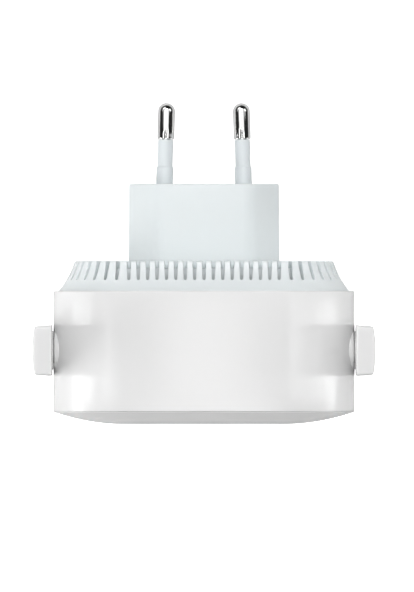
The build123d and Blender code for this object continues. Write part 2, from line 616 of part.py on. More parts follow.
def make_jack_contacts():
    """Eight sprung wires sloping into the plug cavity."""
    foot, tip = (CAVITY_Y[0] - 0.6, JACK_MOUTH + 3.2), (CAVITY_Y[0] + 1.9, JACK_MOUTH + 11.0)
    under = (foot[0], foot[1] + 0.4)
    line = Polyline(foot, (foot[0] + 0.4, foot[1]), tip, (tip[0] - 0.3, tip[1] + 0.2), under, close=True)
    wires = []
    for x in WIRE_X:
        side = Plane(origin=(x - 0.2, 0, 0), x_dir=(0, 1, 0), z_dir=(1, 0, 0))
        wires.append(extrude(side * make_face(line), amount=0.4))
    return Compound(children=wires)


# ---- indicator and reset ----
def make_light_pipe():
    """Clear rod from the indicator to the front surface, held by its collar behind the cover."""
    front = Y_FRONT - DOME
    pipe = rod("Y", (0, LIGHT_Z), LIGHT_R, MAIN_REAR - MAIN_T - 0.85, front)
    pipe = fillet(pipe.edges().group_by(Axis.Y)[0], 0.15)
    return pipe + rod("Y", (0, LIGHT_Z), 1.8, Y_FRONT - 0.1, Y_FRONT - 1.3)


def make_status_led():
    front = MAIN_REAR - MAIN_T - PART_GAP
    return block(-0.9, 0.9, front, front - 0.7, LIGHT_Z - 0.6, LIGHT_Z + 0.6)


def make_reset_switch():
    """Side-pressed push switch at the main board's lower edge."""
    body = block(RESET_X - 3.3, RESET_X + 3.3, MAIN_REAR + PART_GAP, -44.8, -34.2, -30.6)
    return body - rod("Z", (RESET_X, RESET_Y), 1.25, -35, -31.9)


def make_reset_plunger():
    return rod("Z", (RESET_X, RESET_Y), 1.15, -35.8, -32.6)


def make_reset_button():
    """Small recessed button with its guide flange and stem."""
    cap = rod("Z", (RESET_X, RESET_Y), RESET_R, -HALF_H + 0.35, -HALF_H + WALL + 0.1)
    cap = fillet(cap.edges().group_by(Axis.Z)[0], 0.3)
    cap += rod("Z", (RESET_X, RESET_Y), 2.3, -HALF_H + WALL + 0.05, -HALF_H + WALL + 0.7)
    return cap + rod("Z", (RESET_X, RESET_Y), 1.0, -HALF_H + WALL, -35.85)


# ---- baffle and fasteners ----
def make_vent_baffle():
    """White wall and flange close behind the vent slots, between them and the live parts."""
    rear, front = Y_BACK - BACK_T - PART_GAP, PSU_FRONT - 1.0
    wall = slab(outline(BAFFLE_OUT), rear - BAFFLE_STEP, front)
    wall += slab(outline(BAFFLE_OUT + BAFFLE_STEP), rear, rear - BAFFLE_T)
    wall -= slab(outline(BAFFLE_OUT + BAFFLE_T), rear - BAFFLE_T, front - 1)
    return wall - slab(outline(BAFFLE_IN), rear + 1, rear - BAFFLE_T - 1)


def screw(x, z, head_y, shank_end, head_r, shank_r, towards):
    """Pan-head screw with a cross recess. towards is the side its head is on, +1 for +Y."""
    head = rod("Y", (x, z), head_r, head_y, head_y + towards * 1.1)
    head = fillet(head.edges().group_by(Axis.Y)[-1 if towards > 0 else 0], 0.35)
    body = head + rod("Y", (x, z), shank_r, head_y + towards * 0.2, shank_end)
    floor, above = head_y + towards * 0.5, head_y + towards * 2
    for half_a, half_b in ((0.95, 0.2), (0.2, 0.95)):
        body -= block(x - half_a, x + half_a, floor, above, z - half_b, z + half_b)
    return body


def make_main_screws():
    return Compound(children=[
        screw(x, z, MAIN_REAR + PART_GAP, Y_FRONT + BULKHEAD_T - 0.5, 1.7, 0.7, 1) for x, z in STANDOFFS
    ])


def make_psu_screws():
    return Compound(children=[
        screw(x, z, PSU_FRONT - PART_GAP, PSU_FRONT + 6.0, 1.9, 0.8, -1) for x, z in PSU_POSTS
    ])


# ---- all the pieces ----
def all_parts():
    parts = {
        "front_cover": make_front_cover(),
        "front_shell": make_front_shell(),
        "back_cover": make_back_cover(),
        "plug_housing": make_plug_housing(),
        "vent_baffle": make_vent_baffle(),
        "light_pipe": make_light_pipe(),
        "status_led": make_status_led(),
        "reset_button": make_reset_button(),
        "reset_plunger": make_reset_plunger(),
        "reset_switch": make_reset_switch(),
        "main_board": make_main_board(),
        "shield_can": make_shield_can(),
        "wifi_chip": block(-5.0, 1.0, MAIN_REAR + PART_GAP, MAIN_REAR + 1.0, 12.5, 18.5),
        "thermal_pad": block(-6.0, 6.0, MAIN_REAR + 2.1, MAIN_REAR + 2.9, 8.0, 20.0),
        "memory_chips": make_memory_chips(),
        "chip_passives": make_passives(),
        "clock_crystal": block(-18.5, -15.3, MAIN_REAR + PART_GAP, MAIN_REAR + 0.9, 16.0, 18.5),
        "power_inductor": make_inductor(),
        "network_magnetics": make_magnetics(),
        "jack_shield": make_jack_shield(),
        "jack_insert": make_jack_insert(),
        "jack_contacts": make_jack_contacts(),
        "supply_board": make_psu_board(),
        "transformer_core": make_transformer_core(),
        "transformer_winding": make_transformer_winding(),
        "bulk_capacitors": Compound(children=[capacitor(-15.0, z, 4.0, 12.5) for z in (15.5, 5.5)]),
        "output_capacitor": capacitor(17.0, -1.0, 3.2, 10.0),
        "input_choke": rod("Y", (-5.0, 17.5), 2.9, PSU_FRONT - PART_GAP, PSU_FRONT - 8.0),
        "fusible_resistor": make_psu_resistor(),
        "bridge_rectifier": block(-18.0, -12.5, PSU_FRONT - PART_GAP, PSU_FRONT - 2.6, -5.5, -1.0),
        "safety_capacitor": rod("Z", (0, PSU_FRONT - 4.0), 3.6, -3.5, -0.9),
        "supply_chips": make_psu_chips(),
        "header_pins": make_header_pins(),
        "header_base": make_header_base(),
        "main_board_screws": make_main_screws(),
        "supply_board_screws": make_psu_screws(),
    }
    for name, side in SIDES.items():
        parts[f"{name}_pin"] = make_pin(side)
        parts[f"{name}_pin_sleeve"] = make_sleeve(side)
        parts[f"{name}_supply_lead"] = make_lead(side)
    antenna = {
        "antenna_shell": make_antenna_shell(),
        "antenna_cover": make_antenna_cover(),
        "antenna_element": make_antenna_element(),
        "antenna_pigtail": make_antenna_pigtail(),
        "retaining_clip": make_retaining_clip(),
        "friction_washer": make_friction_washer(),
        "coax_lead": make_coax(),
        "coax_plug": make_coax_plug(),
    }
    for name, shape in antenna.items():
        parts[f"right_{name}"] = shape
        parts[f"left_{name}"] = mirror(shape, about=Plane.YZ)
    return parts


os.makedirs("parts", exist_ok=True)
for node, shape in all_parts().items():
    export_step(shape, f"parts/{node}.step")
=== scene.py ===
"""Looks of the plug-in wifi range extender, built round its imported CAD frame.

Lengths are written in millimetres and turned into metres by MM. The frame's axes hold throughout:
+Y into the wall, +Z up, +X right. Outlines are drawn in X and Z, and profiles as (inset, depth Y).
"""

import json
from math import asin, atan2, cos, pi, radians, sin, sqrt, tan

import bmesh
import bpy
from mathutils import Matrix, Vector


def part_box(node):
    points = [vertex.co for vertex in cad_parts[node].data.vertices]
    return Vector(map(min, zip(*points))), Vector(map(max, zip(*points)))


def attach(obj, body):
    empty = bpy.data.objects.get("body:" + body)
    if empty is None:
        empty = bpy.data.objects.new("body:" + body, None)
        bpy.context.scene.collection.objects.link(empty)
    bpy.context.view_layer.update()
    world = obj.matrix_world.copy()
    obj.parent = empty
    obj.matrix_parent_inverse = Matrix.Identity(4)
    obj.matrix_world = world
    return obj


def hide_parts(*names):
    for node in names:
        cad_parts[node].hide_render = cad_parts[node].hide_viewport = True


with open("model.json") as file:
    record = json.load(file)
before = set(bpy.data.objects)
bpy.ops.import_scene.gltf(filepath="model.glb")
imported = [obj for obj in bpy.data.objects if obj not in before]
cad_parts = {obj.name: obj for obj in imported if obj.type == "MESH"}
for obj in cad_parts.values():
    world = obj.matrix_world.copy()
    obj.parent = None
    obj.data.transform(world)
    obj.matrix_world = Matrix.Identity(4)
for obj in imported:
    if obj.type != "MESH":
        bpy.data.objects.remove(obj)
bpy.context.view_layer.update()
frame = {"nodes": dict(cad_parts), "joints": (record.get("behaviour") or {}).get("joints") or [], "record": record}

MM = 0.001


def mm_box(node):
    """A CAD node's lowest and highest corners, in millimetres."""
    return [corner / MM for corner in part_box(node)]


# ---- sizes read from the frame, in millimetres ----
shell_low, shell_high = mm_box("front_shell")
cover_low, _ = mm_box("front_cover")
_, back_high = mm_box("back_cover")
HALF_W, HALF_H = shell_high.x, shell_high.z
Y_RIM, Y_FRONT, Y_DOME, Y_BACK = shell_high.y, shell_low.y, cover_low.y, back_high.y
PIVOT = next(Vector(j["pos_m"]) / MM for j in frame["joints"] if j["name"] == "right_antenna_pivot")
blade_low, blade_high = mm_box("right_antenna_shell")
ANT_IN, ANT_OUT, TIP_Z = blade_low.x, blade_high.x, blade_high.z

# ---- sizes of the design, in millimetres ----
CORNER_R = 17.7
STRAIGHT_X, STRAIGHT_Z = HALF_W - CORNER_R, HALF_H - CORNER_R
CORNERS = [(sx * STRAIGHT_X, sz * STRAIGHT_Z) for sx, sz in ((1, 1), (-1, 1), (-1, -1), (1, -1))]
BOW = 0.35               # how far the top and bottom have fallen where the corners start
BOW_END = 26.0           # where the bow has become a steady drop, X
WALL, BULKHEAD_T = 1.8, 1.4
RIM_STEP, RIM_DEPTH, GAP = 1.15, 2.1, 0.05
CUT_PAST, CUT_IN = 1.0, 3.0   # how far a cutting tool reaches past an outer face, and into the casing
COVE_TOP, COVE_SAG, BACK_EDGE_R, COVER_T, BACK_T = 4.75, 0.43, 0.6, 1.6, 1.7
COVE_SKEW = 0.3          # share of the cove's sag that is also taken along the depth
SKIN_IN, SKIN_DOWN = 1.395, 0.784   # the back cover's thickness square to the cove, as inset and depth
MITRE_IN = 1.22          # from the cove's top to where its inner face meets the back plate's
SLOT_TOP, SLOT_END, SLOT_DEPTH, SLOT_REACH = 1.05, 0.75, 4.4, 2.9
CORNER_SLOTS, SLOTS_ACROSS, SLOTS_DOWN = 7, 8, 10
DOME_EDGE, DOME_RUN, DOME_POWER = 0.22, 17.0, 2.0
LIGHT_Z, LIGHT_HOLE_R, LIGHT_WELL_R = -21.0, 1.08, 1.15
PLUG_W, PLUG_T, PLUG_EDGE_R, PLUG_POINT_R, PLUG_FACE_R = 35.3, 13.7, 5.0, 0.8, 0.35
PLUG_DRAFT = 0.12        # how much wider each side of the plug is at its foot
PLUG_ROOT = 1.65         # how far the plug's foot reaches behind the back plate
PIN_PITCH, PIN_TIP_PITCH, PIN_L = 18.6, 17.5, 18.99
PIN_R, SLEEVE_R, CORE_R, COLLAR_L, SLEEVE_L = 2.0, 1.8, 1.3, 4.0, 10.4
SLEEVE_ROOT, SEAT_ROOT = 1.1, 1.2   # how deep the sleeve, and its seat, go into the plug
BOSS_R, BOSS_IN, BOSS_FACE, HUB_FACE, BORE_R = 4.6, 30.3, 35.03, 35.27, 3.0
SHAFT_R, SHAFT_IN, SHAFT_BORE_R = 2.93, 28.0, 1.0
CLIP_R, CLIP_IN, CLIP_OUT = 2.3, 28.9, 29.5   # groove of the spring clip in the shaft
BLADE_EDGE, BLADE_TAPER = ANT_OUT - 0.55, 3.9
BLADE_HALF = (blade_high.y - blade_low.y) / 2
TIP_FALL = 1.5 / 1.9     # slope of the outer face at the blade's tip
LID_INSET, LID_T = 0.8, 1.0
JACK_HALF, JACK_REAR, JACK_FRONT = 8.2, -34.8, -48.55
RESET_X, RESET_Y, RESET_HOLE_R, RESET_SEAT_R = 13.0, -46.6, 1.77, 2.4
SIDES = {"left": -1, "right": 1}


# ---- mesh helpers ----
def mesh_object(name, verts, faces, weld=0.0, sharp=35.0):
    """An object from millimetre points: doubles welded, normals outward, edges above an angle sharp."""
    bm = bmesh.new()
    made = [bm.verts.new(Vector(v) * MM) for v in verts]
    for face in faces:
        corners = []
        for i in face:
            if made[i] not in corners:
                corners.append(made[i])
        if len(corners) > 2 and bm.faces.get(corners) is None:
            bm.faces.new(corners)
    if weld:
        bmesh.ops.remove_doubles(bm, verts=bm.verts, dist=weld * MM)
    bmesh.ops.dissolve_degenerate(bm, edges=bm.edges, dist=1e-7)
    bmesh.ops.recalc_face_normals(bm, faces=bm.faces)
    mesh = bpy.data.meshes.new(name)
    bm.to_mesh(mesh)
    bm.free()
    obj = bpy.data.objects.new(name, mesh)
    bpy.context.scene.collection.objects.link(obj)
    shade(obj, sharp)
    return obj


def shade(obj, sharp=35.0):
    """Smooth shading, with edges above an angle in degrees left sharp."""
    obj.data.shade_smooth()
    obj.data.set_sharp_from_angle(angle=radians(sharp))


def loft(rings, close_start=False, close_end=False, base=0):
    """Faces between rings of equal length, each ring closed; ends can be capped by one face."""
    count = len(rings[0])
    faces = []
    for r in range(len(rings) - 1):
        for i in range(count):
            j = (i + 1) % count
            a, b = base + r * count, base + (r + 1) * count
            faces.append((a + i, a + j, b + j, b + i))
    if close_start:
        faces.append([base + i for i in range(count)])
    if close_end:
        faces.append([base + (len(rings) - 1) * count + i for i in reversed(range(count))])
    return [p for ring in rings for p in ring], faces


def add_modifier(obj, kind, **settings):
    """A modifier with its settings."""
    modifier = obj.modifiers.new(kind.lower(), kind)
    for key, value in settings.items():
        setattr(modifier, key, value)
    return modifier


def bevel(obj, width, segments=2, angle=35.0):
    """Rounds the sharp edges, keeping flat faces flat in the shading."""
    add_modifier(obj, "BEVEL", width=width * MM, segments=segments, limit_method="ANGLE",
                 angle_limit=radians(angle), use_clamp_overlap=True, harden_normals=True)
    return obj


def apply_modifiers(obj):
    """Bakes an object's modifiers into its mesh."""
    graph = bpy.context.evaluated_depsgraph_get()
    mesh = bpy.data.meshes.new_from_object(obj.evaluated_get(graph), depsgraph=graph)
    obj.modifiers.clear()
    old = obj.data
    obj.data = mesh
    bpy.data.meshes.remove(old)
    return obj


def combine(obj, tool, operation):
    """Joins or cuts obj with tool, exactly, and drops the tool."""
    add_modifier(obj, "BOOLEAN", operation=operation, object=tool, solver="EXACT")
    apply_modifiers(obj)
    bpy.data.objects.remove(tool)
    return obj


def turned(name, profile, centre, axis, steps=64, closed=False, sharp=35.0):
    """A profile of (radius, place along the axis) turned about an axis through centre."""
    axis = Vector(axis).normalized()
    side = axis.orthogonal().normalized()
    other = axis.cross(side)
    rings = []
    for radius, along in profile:
        middle = Vector(centre) + axis * along
        rings.append([middle + (side * cos(2 * pi * i / steps) + other * sin(2 * pi * i / steps)) * radius
                      for i in range(steps)])
    if closed:
        rings.append(rings[0])
    verts, faces = loft(rings, not closed and profile[0][0] > 0, not closed and profile[-1][0] > 0)
    return mesh_object(name, verts, faces, weld=0.001, sharp=sharp)


def arc(cx, cy, radius, start, end, steps):
    """Points on an arc, angles in degrees."""
    return [(cx + radius * cos(radians(start + (end - start) * i / steps)),
             cy + radius * sin(radians(start + (end - start) * i / steps))) for i in range(steps + 1)]


def bowed(x, z):
    """The faintly crowned top and bottom run into the corners without a hard change of curve."""
    start_slope = 3 * BOW / STRAIGHT_X
    reach = abs(x) - STRAIGHT_X
    if reach <= 0:
        drop = BOW * (abs(x) / STRAIGHT_X) ** 3
    else:
        run = BOW_END - STRAIGHT_X
        t = min(reach / run, 1)
        drop = BOW + start_slope * run * (t - t * t / 2)
    return x, z * (1 - drop / HALF_H)


def outline(inset, y, corner_steps=28, side_steps=14):
    """Points round the housing's outline, moved in by inset, at depth y."""
    points = []
    radius = CORNER_R - inset
    for quarter, (cx, cz) in enumerate(CORNERS):
        run = 2 * (STRAIGHT_X if quarter % 2 == 0 else STRAIGHT_Z)
        for i in range(corner_steps):
            a = radians(90 * quarter + 90 * i / corner_steps)
            points.append((cx + radius * cos(a), cz + radius * sin(a)))
        a = radians(90 * (quarter + 1))
        for i in range(side_steps):
            along = run * i / side_steps
            points.append((cx + radius * cos(a) - along * sin(a), cz + radius * sin(a) + along * cos(a)))
    return [(bx, y, bz) for bx, bz in (bowed(x, z) for x, z in points)]


# ---- housing ----
def make_front_shell():
    """Side wall with its rear rim, flat bulkhead, bearing bosses, jack window and reset hole."""
    rim_r, crease_r, chamfer = 0.3, 0.12, 0.06
    bulkhead_rear, ledge = Y_FRONT + BULKHEAD_T, Y_RIM - RIM_DEPTH
    profile = [(WALL, bulkhead_rear), (WALL, ledge), (RIM_STEP, ledge)]
    profile += [(RIM_STEP, Y_RIM - chamfer), (RIM_STEP + chamfer, Y_RIM)]
    profile += [(inset, y) for inset, y in reversed(arc(rim_r, Y_RIM - rim_r, rim_r, 180, 90, 5))]
    rows = 8
    profile += [(0, Y_RIM - rim_r + (Y_FRONT + crease_r - Y_RIM + rim_r) * i / rows) for i in range(1, rows)]
    profile += arc(crease_r, Y_FRONT + crease_r, crease_r, 180, 270, 3)
    rings = [outline(inset, y) for inset, y in profile]
    verts, faces = loft(rings, close_start=True, close_end=True)
    shell = mesh_object("front_shell_skin", verts, faces, weld=0.0005)
    for side in SIDES.values():
        hub_line = {"centre": (0, PIVOT.y, PIVOT.z), "axis": (side, 0, 0)}
        seat = [(BOSS_R + GAP, BOSS_FACE), (BOSS_R + GAP, HALF_W + CUT_PAST)]
        combine(shell, turned("seat", seat, steps=96, **hub_line), "DIFFERENCE")
        boss = [(BOSS_R, BOSS_IN), (BOSS_R, BOSS_FACE - 0.15)]
        boss += [(BOSS_R - 0.05, BOSS_FACE - 0.05), (BOSS_R - 0.15, BOSS_FACE)]
        combine(shell, turned("boss", boss, steps=96, **hub_line), "UNION")
        bore = [(BORE_R, BOSS_IN - CUT_PAST), (BORE_R, HALF_W + CUT_PAST)]
        combine(shell, turned("bore", bore, **hub_line), "DIFFERENCE")
    below, inside, flange_z = -HALF_H - CUT_PAST, -HALF_H + CUT_IN, -HALF_H + WALL
    window = cuboid("window", -JACK_HALF, JACK_HALF, JACK_FRONT, JACK_REAR, below, inside)
    combine(shell, window, "DIFFERENCE")
    hole = [(RESET_HOLE_R, below), (RESET_HOLE_R, flange_z)]
    hole += [(RESET_SEAT_R, flange_z), (RESET_SEAT_R, inside)]
    combine(shell, turned("hole", hole, (RESET_X, RESET_Y, 0), (0, 0, 1), 48), "DIFFERENCE")
    well = [(LIGHT_WELL_R, Y_FRONT - CUT_PAST), (LIGHT_WELL_R, Y_FRONT + CUT_IN)]
    combine(shell, turned("well", well, (0, 0, LIGHT_Z), (0, 1, 0), 48), "DIFFERENCE")
    shade(shell, 30)
    return shell


def cuboid(name, x0, x1, y0, y1, z0, z1):
    """A box used only as a cutting tool."""
    points = [(x, y, z) for x in (x0, x1) for y in (y0, y1) for z in (z0, z1)]
    faces = [(0, 1, 3, 2), (4, 6, 7, 5), (0, 4, 5, 1), (2, 3, 7, 6), (0, 2, 6, 4), (1, 5, 7, 3)]
    return mesh_object(name, points, faces)


def dome_height(inset):
    """Height of the front cover over the shell's front edge."""
    share = 1 - min(inset / DOME_RUN, 1)
    return DOME_EDGE + (Y_FRONT - Y_DOME - DOME_EDGE) * (1 - share**DOME_POWER)


def make_front_cover():
    """Domed front cover with a hole for the light pipe."""
    insets = [0.0, 0.02, 0.06, 0.12, 0.25, 0.5, 0.9, 1.5, 2.2] + list(range(3, 18))
    edge_r, rear, rear_inset = 0.12, Y_FRONT - GAP, 5.0
    rings = [outline(rear_inset, rear), outline(edge_r / 2, rear), outline(0, rear - edge_r / 3)]
    for inset in insets:
        soften = edge_r * (1 - min(inset / edge_r, 1)) ** 2 * 0.5
        rings.append(outline(inset, Y_FRONT - dome_height(inset) + soften))
    verts, faces = loft(rings, close_start=True, close_end=True)
    cover = mesh_object("front_cover_skin", verts, faces, weld=0.0005, sharp=50)
    hole = [(LIGHT_HOLE_R, Y_DOME - CUT_PAST), (LIGHT_HOLE_R, Y_FRONT + CUT_PAST)]
    combine(cover, turned("hole", hole, (0, 0, LIGHT_Z), (0, 1, 0), 48), "DIFFERENCE")
    shade(cover, 30)
    return cover


# ---- back cover with its ring of slots ----
def cove_curve(steps):
    """The cove's hollow curve as (inset, depth), from the rim to the back face's edge."""
    ax, ay = RIM_STEP + GAP, Y_RIM
    bx, by = COVE_TOP, Y_BACK - BACK_EDGE_R
    length = sqrt((bx - ax) ** 2 + (by - ay) ** 2)
    nx, ny = (by - ay) / length, -(bx - ax) / length

    def at(y):
        """The curve's point at depth y."""
        t = (y - ay) / (by - ay)
        bulge = 4 * t * (1 - t) * COVE_SAG
        return (ax + (bx - ax) * t + bulge * nx, y + bulge * ny * COVE_SKEW)

    return [at(y) for y in steps]


def cover_rows():
    """The back cover's rows: outer (inset, depth), inner (inset, depth), half the slot's width or None."""
    end_y = Y_BACK - SLOT_DEPTH + SLOT_END / 2
    edge_y = Y_BACK - BACK_EDGE_R

    def half_width(y):
        """Half the slot's width at depth y."""
        t = (y - end_y) / (Y_BACK - end_y)
        return (SLOT_END + (SLOT_TOP - SLOT_END) * t) / 2

    rim = RIM_STEP + GAP
    rows = [((rim, Y_RIM - RIM_DEPTH + 2 * GAP), None), ((rim, Y_RIM - GAP), None)]
    tip_y = end_y - SLOT_END / 2
    lower = [Y_RIM + (tip_y - Y_RIM) * i / 5 for i in range(5)]
    rows += [(p, None) for p in cove_curve(lower)]
    for i in range(7):
        a = radians(90 * i / 6)
        (point,) = cove_curve([end_y - SLOT_END / 2 * cos(a)])
        rows.append((point, SLOT_END / 2 * sin(a)))
    upper = [end_y + (edge_y - end_y) * i / 6 for i in range(1, 7)]
    rows += [(p, half_width(y)) for p, y in zip(cove_curve(upper), upper)]
    arc_start, arc_turn, arc_narrow = radians(150), radians(60), 0.95
    for i in range(1, 6):
        a = arc_start - arc_turn * i / 5
        inset = COVE_TOP + BACK_EDGE_R * (cos(a) - cos(arc_start)) * arc_narrow
        y = edge_y + BACK_EDGE_R * (sin(a) - 0.5) * 2
        rows.append(((inset, y), half_width(y)))
    start = rows[-1][0][0]
    top = half_width(Y_BACK)
    turn = COVE_TOP + BACK_EDGE_R + SLOT_REACH - top
    rows += [((start + (turn - start) * i / 3, Y_BACK), top) for i in range(1, 3)]
    for i in range(7):
        a = radians(90 * i / 6)
        rows.append(((turn + top * sin(a), Y_BACK), top * cos(a)))
    plate_land = 0.8
    rows.append(((turn + top + plate_land, Y_BACK), None))
    mitre = (COVE_TOP + MITRE_IN, Y_BACK - BACK_T)
    full = []
    for (inset, y), width in rows:
        if inset >= mitre[0]:
            inner = (inset, mitre[1])
        elif y <= Y_RIM:
            inner = (RIM_STEP + COVER_T, y)
        else:
            share = (y - Y_RIM) / (edge_y - Y_RIM)
            inner = (inset + SKIN_IN, min(y - SKIN_DOWN, mitre[1]))
            if share >= 0.98 or inner[1] >= mitre[1] - 0.02:
                inner = mitre
        full.append(((inset, y), inner, width))
    return full


def slot_places():
    """Centre, outward angle and, for each side of the slot, half a pitch: (True, degrees) round a corner."""
    places = []
    turn = 90 / (CORNER_SLOTS + 1) / 2
    across = [(angle, STRAIGHT_X, STRAIGHT_Z, SLOTS_ACROSS) for angle in (90, 270)]
    down = [(angle, STRAIGHT_Z, STRAIGHT_X, SLOTS_DOWN) for angle in (0, 180)]
    for angle, reach, cross, count in across + down:
        out = Vector((round(cos(radians(angle))), round(sin(radians(angle)))))
        along = Vector((-out.y, out.x))
        half = reach / count / 2
        for i in range(-count, count + 1):
            centre = out * cross + along * (reach * i / count)
            plus = (True, turn) if i == count else (False, half)
            minus = (True, turn) if i == -count else (False, half)
            places.append((centre, angle, plus, minus))
    for quarter, centre in enumerate(CORNERS):
        for i in range(CORNER_SLOTS):
            places.append((Vector(centre), 90 * quarter + 2 * turn * (i + 1), (True, turn), (True, turn)))
    return places


def cell_point(place, side, share, width, inset, y):
    """A point of one half cell: share 0 at the slot's edge, 1 half way to the next slot."""
    centre, angle, plus, minus = place
    round_corner, reach = plus if side > 0 else minus
    out = Vector((cos(radians(angle)), sin(radians(angle))))
    along = Vector((-out.y, out.x)) * side
    radius = CORNER_R - inset
    if round_corner:
        edge = asin(min(1, width / radius))
        turn = edge + share * (radians(reach) - edge)
        point = centre + out * (radius * cos(turn)) + along * (radius * sin(turn))
    else:
        point = centre + out * radius + along * (width + share * (reach - width))
    x, z = bowed(point.x, point.y)
    return (x, y, z)


def make_back_cover():
    """The back cover as a skin with real thickness, each slot cut through by its own walls."""
    rows = cover_rows()
    columns = 3
    verts, faces = [], []
    for place in slot_places():
        for side in (1, -1):
            base = len(verts)
            for outer, inner, width in rows:
                for inset, y in (outer, inner):
                    for c in range(columns + 1):
                        verts.append(cell_point(place, side, c / columns, width or 0, inset, y))

            def index(row, layer, column):
                """Number of a point of this half cell; layer 0 is the outer face, 1 the inner."""
                return base + (row * 2 + layer) * (columns + 1) + column

            for r in range(len(rows) - 1):
                for c in range(columns):
                    for layer in (0, 1):
                        quad = [index(r, layer, c), index(r, layer, c + 1)]
                        quad += [index(r + 1, layer, c + 1), index(r + 1, layer, c)]
                        faces.append(quad if (layer == 0) == (side > 0) else quad[::-1])
                if rows[r][2] is not None and rows[r + 1][2] is not None:
                    wall = [index(r, 0, 0), index(r + 1, 0, 0), index(r + 1, 1, 0), index(r, 1, 0)]
                    faces.append(wall if side > 0 else wall[::-1])
            for c in range(columns):
                foot = [index(0, 0, c), index(0, 1, c), index(0, 1, c + 1), index(0, 0, c + 1)]
                faces.append(foot if side > 0 else foot[::-1])
    cover = mesh_object("back_cover_skin", verts, faces, weld=0.003, sharp=40)
    fill_plate(cover)
    bevel(cover, 0.1, 2, 40)
    return cover


def fill_plate(cover):
    """Fills the back plate, outer and inner face, between the ring of slots and the plug's opening."""
    bm = bmesh.new()
    bm.from_mesh(cover.data)
    opening = []
    for y in (Y_BACK, Y_BACK - BACK_T):
        loop = [bm.verts.new(Vector((x, y, z)) * MM) for x, z in plug_outline(0.1)]
        opening.append(loop)
        edges = [bm.edges.new((loop[i], loop[(i + 1) % len(loop)])) for i in range(len(loop))]
        edges += [e for e in bm.edges if e.is_boundary and abs(e.verts[0].co.y / MM - y) < 0.01
                  and abs(e.verts[1].co.y / MM - y) < 0.01]
        bmesh.ops.triangle_fill(bm, edges=list(set(edges)), use_beauty=True, use_dissolve=False)
    for i in range(len(opening[0])):
        j = (i + 1) % len(opening[0])
        bm.faces.new((opening[0][i], opening[0][j], opening[1][j], opening[1][i]))
    bmesh.ops.recalc_face_normals(bm, faces=bm.faces)
    bm.to_mesh(cover.data)
    bm.free()
    shade(cover, 40)


# ---- plug ----
def rounded_polygon(corners, radii, steps=10):
    """Outline of a polygon whose corners are rounded by the given radii."""
    points = []
    count = len(corners)
    for i, radius in enumerate(radii):
        here = Vector(corners[i])
        into = (here - Vector(corners[i - 1])).normalized()
        out = (Vector(corners[(i + 1) % count]) - here).normalized()
        turn = into.angle_signed(out)
        reach = radius * tan(abs(turn) / 2)
        start = here - into * reach
        inward = Vector((into.y, -into.x)) * (1 if turn > 0 else -1)
        centre = start + inward * radius
        for k in range(steps + 1):
            a = -turn * k / steps
            spoke = start - centre
            x, z = spoke.x * cos(a) - spoke.y * sin(a), spoke.x * sin(a) + spoke.y * cos(a)
            points.append((centre.x + x, centre.y + z))
    return points


def plug_outline(grow=0.0):
    """Europlug outline in X and Z, clockwise from the left point."""
    sharp_half = PLUG_W / 2 + PLUG_POINT_R * (sqrt(2) - 1)
    w, t = sharp_half + grow * sqrt(2), PLUG_T / 2 + grow
    bevel_x = sharp_half - PLUG_T / 2 + grow * (sqrt(2) - 1)
    corners = [(-w, 0), (-bevel_x, t), (bevel_x, t), (w, 0), (bevel_x, -t), (-bevel_x, -t)]
    blunt, point = PLUG_EDGE_R + grow, PLUG_POINT_R + grow
    return rounded_polygon(corners, [point, blunt, blunt, point, blunt, blunt])


def make_plug_housing():
    """Plug body: slight draft, a rounded edge round the face, and a seat round each pin."""
    foot = Y_BACK - BACK_T - PLUG_ROOT
    profile = [(PLUG_DRAFT, foot), (PLUG_DRAFT, Y_BACK)]
    profile += [(PLUG_DRAFT * (1 - i / 6), Y_BACK * (1 - i / 6)) for i in range(1, 6)]
    profile += [(r - PLUG_FACE_R, y) for r, y in arc(0, -PLUG_FACE_R, PLUG_FACE_R, 0, 90, 5)]
    rings = [[(x, y, z) for x, z in plug_outline(grow)] for grow, y in profile]
    verts, faces = loft(rings, close_start=True, close_end=True)
    plug = mesh_object("plug_body", verts, faces, weld=0.0005, sharp=30)
    for side in SIDES.values():
        seat = [(PIN_R + 0.1, -SEAT_ROOT), (PIN_R + 0.1, -0.12), (PIN_R + 0.14, -0.04)]
        seat += [(PIN_R + 0.22, 0.0), (PIN_R + 0.22, CUT_PAST)]
        origin, axis = pin_line(side)
        combine(plug, turned("seat", seat, origin, axis, 64), "DIFFERENCE")
    shade(plug, 30)
    return plug


def pin_line(side):
    """Where a pin's axis starts and which way it points: the two lean together."""
    lean = atan2((PIN_PITCH - PIN_TIP_PITCH) / 2, PIN_L)
    return (side * PIN_PITCH / 2, 0, 0), (-side * sin(lean), cos(lean), 0)


def make_pin(name, side):
    """Bare round-nosed pin end with a small chamfer where it meets the sleeve."""
    origin, axis = pin_line(side)
    foot, foot_r = SLEEVE_L + 0.08, 0.3
    profile = [(CORE_R, 0.5), (CORE_R, foot)] + arc(PIN_R - foot_r, foot + foot_r, foot_r, -90, 0, 6)
    profile += [(PIN_R, (SLEEVE_L + PIN_L - PIN_R) / 2)]
    profile += [(r, along) for r, along in arc(0, PIN_L - PIN_R, PIN_R, 0, 90, 16)]
    return turned(f"{name}_plug_pin", profile, origin, axis, 64)


